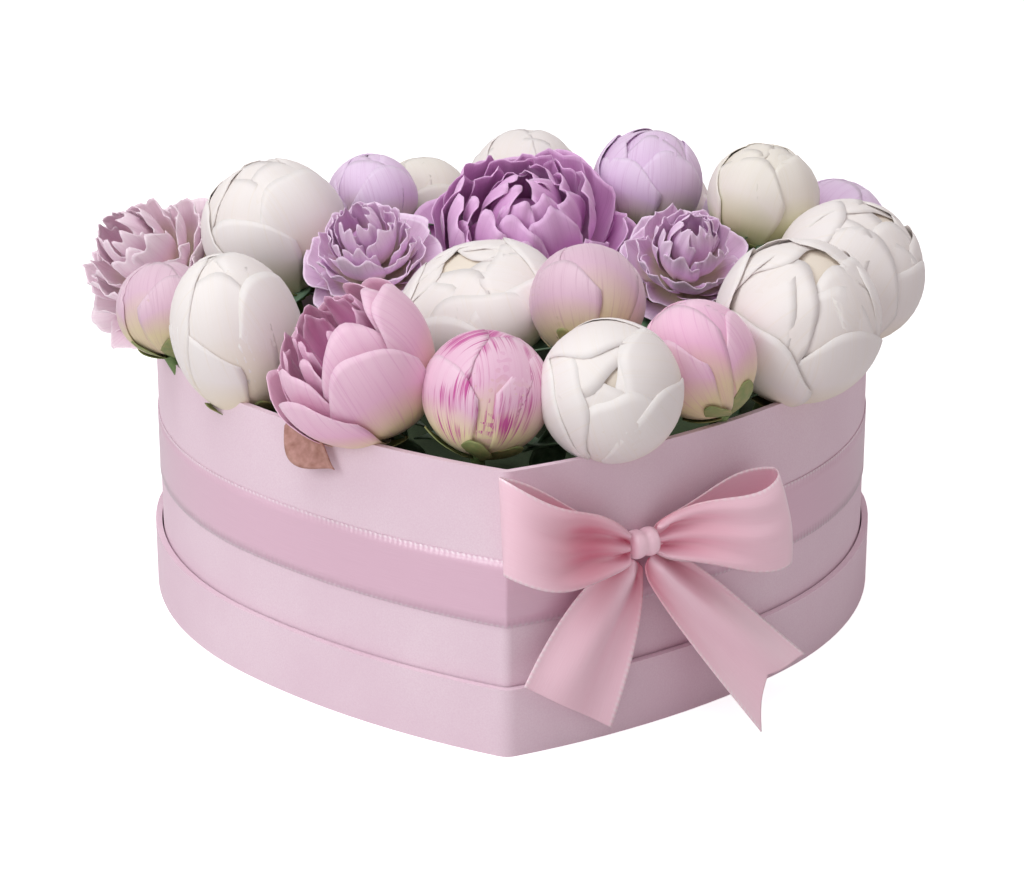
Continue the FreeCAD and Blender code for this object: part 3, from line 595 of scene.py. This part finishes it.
flowers = {row[0]: grow_flower(*row, seed=FIRST_SEED + i) for i, row in enumerate(ARRANGED)}
print(len(flowers), "flowers,", sum(len(flower.data.polygons) for flower in flowers.values()), "faces")

# %% [markdown]
# Leaves of the same plants stand between the heads. The frame holds the tall ones as one solid of flat
# blades, so a copy of it is taken apart at its gaps, and each blade's foot, tip and flat side say where
# a leaf goes. Smaller leaves sit on every stem right under the head and reach in over the foam, which
# closes the gaps between the heads. A leaf is a grid drawn to a point at both ends, folded along its
# middle rib and bent back at its tip.

# %% Leaves
LEAF_ACROSS, LEAF_ALONG, LEAF_THICK = 8, 22, 0.6 * MM
LEAF_STALK, LEAF_BELLY, LEAF_FOLD, LEAF_BEND, LEAF_SHORTER = 0.10, 1.05, 0.35, 0.32, 0.06
BOX_MIDDLE = (0, -45 * MM)
LEAF_SEED = 7
leaf_finish = speckled("leaf_green", "#4C6B4A", "#7F9C82", 5 * MM, 0.2 * MM, 0.45)


def blade_places():
    """Each blade's points from a copy of the leaves' solid, split at its gaps."""
    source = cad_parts["leaves"]
    copy = source.copy()
    copy.data = source.data.copy()
    bpy.context.collection.objects.link(copy)
    bpy.ops.object.select_all(action="DESELECT")
    copy.select_set(True)
    bpy.context.view_layer.objects.active = copy
    bpy.ops.object.mode_set(mode="EDIT")
    bpy.ops.mesh.select_all(action="SELECT")
    bpy.ops.mesh.remove_doubles(threshold=0.002 * MM)
    bpy.ops.mesh.separate(type="LOOSE")
    bpy.ops.object.mode_set(mode="OBJECT")
    found = []
    for part in bpy.context.selected_objects[:]:
        found.append(points_of(part.data))
        bpy.data.objects.remove(part)
    return sorted(found, key=lambda points: tuple(points.mean(axis=0)))


def squared(face, run):
    """A direction of length 1, made square to a run."""
    face = face - run * (face @ run)
    return face / np.linalg.norm(face)


def leaf_blade(start, tip, face, half):
    """A bent, folded leaf of a half width from its start to its tip, with one face towards a direction."""
    length = np.linalg.norm(tip - start)
    run = (tip - start) / length
    side = np.cross(face, run)
    bpy.ops.mesh.primitive_grid_add(x_subdivisions=LEAF_ACROSS, y_subdivisions=LEAF_ALONG, size=2)
    leaf = bpy.context.object
    for v in leaf.data.vertices:
        across, along = v.co.x, (v.co.y + 1) / 2
        belly = LEAF_BELLY * math.sin(math.pi * along ** 0.85) ** 1.2 * (along > 0)
        width = half * (LEAF_STALK + belly) * (1 - along ** 9)
        place = start + run * (length * along * (1 - LEAF_SHORTER * along)) + side * (across * width)
        v.co = Vector(place + face * (abs(across) * width * LEAF_FOLD - LEAF_BEND * half * along ** 2))
    thicken(leaf, LEAF_THICK)
    return leaf


def standing_leaf(points):
    """A leaf on the upper half of one flat blade's points."""
    foot = points[points[:, 2].argmin()]
    tip = points[np.linalg.norm(points - foot, axis=1).argmax()]
    face = np.linalg.svd(points - points.mean(axis=0))[2][2]
    half = np.abs((points - foot) @ np.cross(face, (tip - foot) / np.linalg.norm(tip - foot))).max()
    return leaf_blade(foot + 0.5 * (tip - foot), tip, face, half)


def stem_leaves(stand, draw):
    """Leaves under one head, spread towards the middle of the box."""
    start = stand.middle - stand.axis * 1.1 * stand.radius
    inward = math.atan2(BOX_MIDDLE[1] - start[1], BOX_MIDDLE[0] - start[0])
    grown = []
    for fan in (-1.0, 0.0, 1.0):
        heading = inward + fan + draw.uniform(-0.25, 0.25)
        rise = draw.uniform(-0.2, 0.1)
        run = np.array([math.cos(heading), math.sin(heading), rise]) / math.hypot(1, rise)
        tip = start + run * draw.uniform(26, 34) * MM
        grown.append(leaf_blade(start, tip, squared(np.array([0, 0, 1.0]), run), draw.uniform(8, 10) * MM))
    return grown


draw = np.random.default_rng(LEAF_SEED)
blades = [standing_leaf(points) for points in blade_places()]
for stand in stands.values():
    blades += stem_leaves(stand, draw)
leaves = blades[0]
join_parts(leaves, blades[1:])
leaves.name = "leaf_blades"
leaves.data.materials.append(leaf_finish)
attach(leaves, "arrangement")
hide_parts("leaves")
print("leaves:", len(blades))

# %% [markdown]
# One sepal of the front cup has dried. It hangs out over the rim, just outside the wall.

# %% Dry sepal
SEPAL_FOOT, SEPAL_TIP = np.array([-80, -135, 107]) * MM, np.array([-62, -155, 96]) * MM
SEPAL_FACE, SEPAL_HALF = np.array([-0.63, -0.72, 0.3]), 7 * MM
sepal_run = (SEPAL_TIP - SEPAL_FOOT) / np.linalg.norm(SEPAL_TIP - SEPAL_FOOT)
sepal = leaf_blade(SEPAL_FOOT, SEPAL_TIP, squared(SEPAL_FACE, sepal_run), SEPAL_HALF)
sepal.data.materials.append(speckled("sepal_dry", "#9A6A5C", "#C89A90", 3 * MM, 0.2 * MM, 0.7))
cup = flowers["peony_pink_cup_front"]
join_parts(cup, [sepal])
print("dry sepal on", cup.name)

# %% [markdown]
# The ribbons are satin: warp threads float on the face and run along the ribbon, so the shine is a
# stripe across it, and both edges carry a row of tiny loops, the picots. The thread lines are drawn
# coarser than real thread, or they would not show. The finish reads the ribbon's own UV map: along it
# in metres, and across it from edge to edge. Shade is painted into the colour between tight pleats:
# each ribbon carries a share of painted shade at each point, and the finish mixes a darker tone in there.

# %% Satin
PICOT_SPACING, THREADS_ALONG, THREADS_ACROSS = 2.2 * MM, 60.0, 110.0
BORDER_RANGE, BEAD_LOW = (0.455, 0.485), 0.25
SATIN_RELIEF = 0.3, 0.15 * MM


def satin(name, body, shade, edge, painted_shade):
    """Woven satin with threads along the ribbon, a paler, beaded edge and a painted shade between pleats."""
    material, tree, shader = new_finish(name, Roughness=0.3, Sheen_Weight=0.35, Sheen_Roughness=0.35,
                                        Anisotropic=0.6, Specular_IOR_Level=1.0)
    # each point's share of painted shade
    painted_fold_shade = add_node(tree, "ShaderNodeAttribute", attribute_name="painted_fold_shade").outputs["Fac"]
    spread = add_node(tree, "ShaderNodeTexCoord").outputs["UV"]
    split = add_node(tree, "ShaderNodeSeparateXYZ", {0: spread})
    lines = add_node(tree, "ShaderNodeMapping", {0: spread, "Scale": (THREADS_ALONG, THREADS_ACROSS, 1.0)})
    threads = add_node(tree, "ShaderNodeTexNoise", {"Vector": lines.outputs[0], "Scale": 1.0, "Detail": 2.0})
    off_centre = reckon(tree, "ABSOLUTE", reckon(tree, "SUBTRACT", split.outputs[1], 0.5))
    beads = reckon(tree, "SINE", reckon(tree, "MULTIPLY", split.outputs[0], 2 * math.pi / PICOT_SPACING))
    beads = remap(tree, beads, -1.0, 1.0, BEAD_LOW, 1.0)
    border = reckon(tree, "MULTIPLY", remap(tree, off_centre, *BORDER_RANGE), beads)
    tone = blend(tree, threads.outputs[0], body, shade)
    tone = blend(tree, border, tone, edge)
    # painted shade: the darker colour is mixed in by each point's share of painted shade
    tone = blend(tree, painted_fold_shade, tone, painted_shade)
    cover(tree, shader, tone, reckon(tree, "ADD", threads.outputs[0], border), *SATIN_RELIEF)
    return material


# The last colour of each satin is its painted shade, a darker tone that stands for shade between pleats.
satin_band = satin("satin_ribbon_pale", "#E3BCCF", "#DAAFC4", "#EFD9E4", "#C890A8")
satin_bow = satin("satin_ribbon_rose", "#FDD6E4", "#F8C9D9", "#FCE4EC", "#D4587A")
print("satin for the band and the bow")

# %% [markdown]
# Every ribbon piece starts as a grid with its long side along the ribbon. One function lays it on any
# path: it is given a rule that turns a place along and across the ribbon into a point in space.

# %% Ribbon from a grid
RIBBON_THICK = 0.4 * MM


def ribbon(name, steps_along, steps_across, length, rule, finish):
    """A ribbon whose rule gives points, and a share of painted shade for each point, for arrays of along, 0 to 1,
    and across, -1 to 1.
    """
    bpy.ops.mesh.primitive_grid_add(x_subdivisions=steps_along, y_subdivisions=steps_across, size=2)
    strip = bpy.context.object
    strip.name = name
    flat = points_of(strip.data)
    points, painted_shade_share = rule((flat[:, 0] + 1) / 2, flat[:, 1])
    strip.data.vertices.foreach_set("co", points.ravel())
    # each point's share of painted shade, read by the satin finish
    strip.data.attributes.new("painted_fold_shade", "FLOAT", "POINT").data.foreach_set("value", painted_shade_share)
    for loop in strip.data.uv_layers[0].data:
        loop.uv[0] *= length
    thicken(strip, RIBBON_THICK)
    strip.data.materials.append(finish)
    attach(strip, "box")
    return strip


print("ribbons are", RIBBON_THICK / MM, "mm thick")

# %% [markdown]
# The band runs round the whole box, stretched flat on the paper. Its path is the heart's own outline,
# a side arc, a shoulder arc and a lobe arc on each half, and its ends meet in the cleft behind. Tiny
# waves along both edges are the picots.

# %% Band round the box
SIDE_MIDDLE, SIDE_RADIUS = Vector((-127.4 * MM, 95.5 * MM)), 307 * MM
SHOULDER_MIDDLE, SHOULDER_RADIUS = Vector((-25 * MM, 0)), 167 * MM
LOBE_MIDDLE, LOBE_RADIUS = Vector((61 * MM, 0)), 81 * MM
ARC_STEPS, BAND_STEPS = 400, 4001
BAND_LIFT, PICOT_TALL = 0.5 * MM, 0.3 * MM
band_low, band_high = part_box("ribbon_band")


def heart_outline(grow, count):
    """Points at even steps along the heart's outline, from the cleft round by the tip and back."""
    meet = math.atan2(*(SHOULDER_MIDDLE - SIDE_MIDDLE).yx)
    side, shoulder, lobe = SIDE_RADIUS + grow, SHOULDER_RADIUS + grow, LOBE_RADIUS + grow
    arcs = ((LOBE_MIDDLE, lobe, math.acos(-LOBE_MIDDLE.x / lobe), 0), (SHOULDER_MIDDLE, shoulder, 0, meet),
            (SIDE_MIDDLE, side, meet, -math.acos(-SIDE_MIDDLE.x / side)))
    points = []
    for middle, radius, start, end in arcs:
        for t in np.linspace(start, end, ARC_STEPS):
            points.append((middle.x + radius * math.cos(t), middle.y + radius * math.sin(t)))
    points = np.array(points + [(-x, y) for x, y in reversed(points)])
    walked = np.concatenate([[0], np.cumsum(np.linalg.norm(np.diff(points, axis=0), axis=1))])
    evenly = np.linspace(0, walked[-1], count)
    return np.stack([np.interp(evenly, walked, points[:, i]) for i in (0, 1)], axis=1), walked[-1]


band_path, band_length = heart_outline(BAND_LIFT, BAND_STEPS)


def band_rule(along, across):
    """The band's points on its path, with picots along both edges, and no painted shade."""
    steps = np.linspace(0, 1, BAND_STEPS)
    spot = np.stack([np.interp(along, steps, band_path[:, i]) for i in (0, 1)], axis=1)
    at_edge = np.abs(across) > 0.99
    picot = PICOT_TALL * np.abs(np.sin(math.pi * along * band_length / PICOT_SPACING)) * at_edge
    high = (band_low[2] + band_high[2]) / 2 + across * ((band_high[2] - band_low[2]) / 2 + picot)
    return np.column_stack([spot, high]), np.zeros_like(along)


band = ribbon("band_round_box", 1700, 6, band_length, band_rule, satin_band)
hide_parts("ribbon_band")
print("band length", round(band_length, 3), "m")

# %% [markdown]
# The bow sits on the right front wall. Each loop is a ribbon that leaves the knot gathered, opens to
# its full width at the end, and comes back along the wall. The gathers are waves across the ribbon
# that die out away from the knot, and the loop's front is pushed in a little between knot and end.
# Both tails fan out below the knot and stand off the wall. Shade is painted into the colour between the
# pleats near the knot and into each loop's hollow.

# %% Bow
BOW_TURN = math.radians(34.1)
BOW_OUT = np.array([math.sin(BOW_TURN), -math.cos(BOW_TURN), 0])
BOW_ALONG = np.array([math.cos(BOW_TURN), math.sin(BOW_TURN), 0])
BOW_FOOT = np.array([*SIDE_MIDDLE, 0]) + BOW_OUT * (SIDE_RADIUS + 0.65 * MM)
BOW_HEIGHT, BOW_DEPTH, BOW_RIBBON, KNOT = 73 * MM, 13 * MM, 40 * MM, 10 * MM
KNOT_GAP, WALL_GAP, GATHERED = 0.6 * MM, 1.5 * MM, 8 * MM
LOOP_PLEAT, LOOP_DENT, LOOP_WAVE, LOOP_OPENED = 2 * MM, 5 * MM, 1.5 * MM, 0.92
# SHADE_WIDE is how far the painted shade spreads about a loop's hollow, BACK_SHADE how much of it the loop's back
# takes.
DENT_WIDE, SHADE_WIDE, BACK_SHADE = 0.26, 0.34, 0.6
TAIL_PLEAT, TAIL_START, TAIL_FAN = 3 * MM, 0.12, 0.42


def bow_points(along, out, up):
    """Points from lengths along the wall, out from it and up from the floor."""
    return BOW_FOOT + np.outer(along, BOW_ALONG) + np.outer(out, BOW_OUT) + np.outer(up, [0, 0, 1])


def loop_rule(side, reach, rise, puff, slant, hollow, painted_shade):
    """A rule for a loop to one side of the knot, its end risen, puffed and slanted, with a hollow before it, and
    painted shade in that hollow and between the pleats near the knot.
    """
    def rule(along, across):
        turn = 2 * math.pi * along
        away = (1 - np.cos(turn)) / 2
        front = np.sin(turn) > 0
        swing = np.abs(np.sin(turn)) * np.sin(turn / 2)
        near = (1 - away) ** 0.9 * np.minimum(away / 0.03, 1)
        pleat = np.cos(2.5 * math.pi * across + 0.8)
        dent = np.exp(-((away - hollow) / DENT_WIDE) ** 2) * (1 - (across - 0.1).clip(-1, 1) ** 2)
        folds = LOOP_PLEAT * pleat * near - LOOP_DENT * dent
        belly = puff * (1 - across ** 2) * away * (1 - 0.35 * away)
        out = KNOT / 2 + np.where(front, swing * BOW_DEPTH + folds + belly, -swing * (KNOT / 2 - WALL_GAP))
        out = out + 2 * RIBBON_THICK * np.cos(turn / 2)
        tall = GATHERED + (LOOP_OPENED * BOW_RIBBON - GATHERED) * away ** 0.55
        far = KNOT / 2 + KNOT_GAP + away * (reach + slant * across * away)
        wave = LOOP_WAVE * np.sin(2 * math.pi * away) * np.where(front, 1, -1)
        # painted shade, strongest at the loop's hollow and in the valleys of the pleats near the knot
        shade = np.exp(-((away - hollow) / SHADE_WIDE) ** 2) * (1 - (0.8 * across) ** 2)
        painted_shade_share = np.maximum(painted_shade * shade, (0.5 - 0.5 * pleat) * (1 - away) ** 2.5) * np.where(front, 1, BACK_SHADE)
        return bow_points(side * far, out, BOW_HEIGHT + rise * away ** 1.3 + wave + across * tall / 2), painted_shade_share
    return rule


def tail_rule(side, inner, outer, notch, roll):
    """A rule for a tail from the knot to its inner and outer end corners, rolled across, its end notched, with
    painted shade between the pleats near the knot.
    """
    inner, outer = np.array(inner) * MM, np.array(outer) * MM
    start = np.array([side * GATHERED / 2, KNOT / 2, BOW_HEIGHT - KNOT / 2 - KNOT_GAP])

    def rule(along, across):
        far = along * (1 - notch * (1 - np.abs(across)) * along ** 3)
        spread = TAIL_START + (1 - TAIL_START) * far ** TAIL_FAN
        spot = start + np.outer(far, (inner + outer) / 2 - start) + np.outer(across * spread, (outer - inner) / 2)
        pleat = np.cos(1.5 * math.pi * across + 0.7)
        pleats = TAIL_PLEAT * pleat * (1 - along) ** 3 * np.minimum(along / 0.08, 1)
        rolled = roll * np.sin(1.3 * math.pi * across + 0.6) * np.sin(0.85 * math.pi * along)
        # painted shade in the valleys of the pleats, fading away from the knot
        painted_shade_share = (0.5 - 0.5 * pleat) * (1 - along) ** 3
        return bow_points(spot[:, 0], (spot[:, 1] + pleats + rolled).clip(WALL_GAP), spot[:, 2]), painted_shade_share
    return rule


# A loop's last two numbers are where its hollow lies and how strong the painted shade in it is.
BOW_PIECES = (
    ("bow_loop_left", loop_rule(-1, 54 * MM, 19 * MM, 5 * MM, 1 * MM, 0.42, 0.95), 120 * MM),
    ("bow_loop_right", loop_rule(1, 57 * MM, -2 * MM, 5 * MM, -4 * MM, 0.22, 0.35), 126 * MM),
    ("bow_tail_left", tail_rule(-1, (-15, 8, 6), (-52, 9, 31), 0.0, 3 * MM), 60 * MM),
    ("bow_tail_right", tail_rule(1, (33, 34, 2), (75, 8, 12), 0.14, 3 * MM), 80 * MM),
)
for name, rule, length in BOW_PIECES:
    piece = ribbon(name.replace("bow_", "satin_"), 96, 36, length, rule, satin_bow)
    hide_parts(name)
print("bow of", len(BOW_PIECES), "ribbon pieces")

# %% [markdown]
# The knot is the same ribbon, drawn narrow and wound twice round the middle. It starts as a cylinder
# along the wall, whose side is cut into rings, and the rings are swollen into two rolls.

# %% Knot
KNOT_SIDES, KNOT_RINGS = 40, 12
ROLL_LOW, ROLL_SWELL, ROLL_POWER, END_SHARE = 0.80, 0.22, 0.6, 0.6
KNOT_TALL, KNOT_LONG = 1.05, 1.1
bpy.ops.mesh.primitive_cylinder_add(vertices=KNOT_SIDES, radius=1.0, depth=2.0)
knot = bpy.context.object
knot.name = "satin_knot"
bpy.ops.object.mode_set(mode="EDIT")
bpy.ops.mesh.select_all(action="DESELECT")
bpy.ops.object.mode_set(mode="OBJECT")
for edge in knot.data.edges:
    ends = [knot.data.vertices[i].co for i in edge.vertices]
    edge.select = abs(ends[0].z - ends[1].z) > 1
bpy.ops.object.mode_set(mode="EDIT")
bpy.ops.mesh.subdivide(number_cuts=KNOT_RINGS)
bpy.ops.object.mode_set(mode="OBJECT")
axes = np.stack([BOW_OUT, [0, 0, 1], BOW_ALONG])
knot_middle = BOW_FOOT + BOW_OUT * KNOT / 2 + np.array([0, 0, BOW_HEIGHT])
for v in knot.data.vertices:
    roll = abs(math.sin(math.pi * v.co.z)) ** ROLL_POWER
    wide = KNOT / 2 * (ROLL_LOW + ROLL_SWELL * roll) * (END_SHARE if abs(v.co.z) > 0.99 else 1)
    spot = np.array([v.co.x * wide, v.co.y * wide * KNOT_TALL, v.co.z * KNOT / 2 * KNOT_LONG])
    v.co = Vector(knot_middle + spot @ axes)
bpy.ops.object.shade_smooth_by_angle(angle=math.radians(60))
knot.data.materials.append(satin_bow)
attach(knot, "box")
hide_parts("bow_knot")
print("knot", round(KNOT / MM), "mm across")
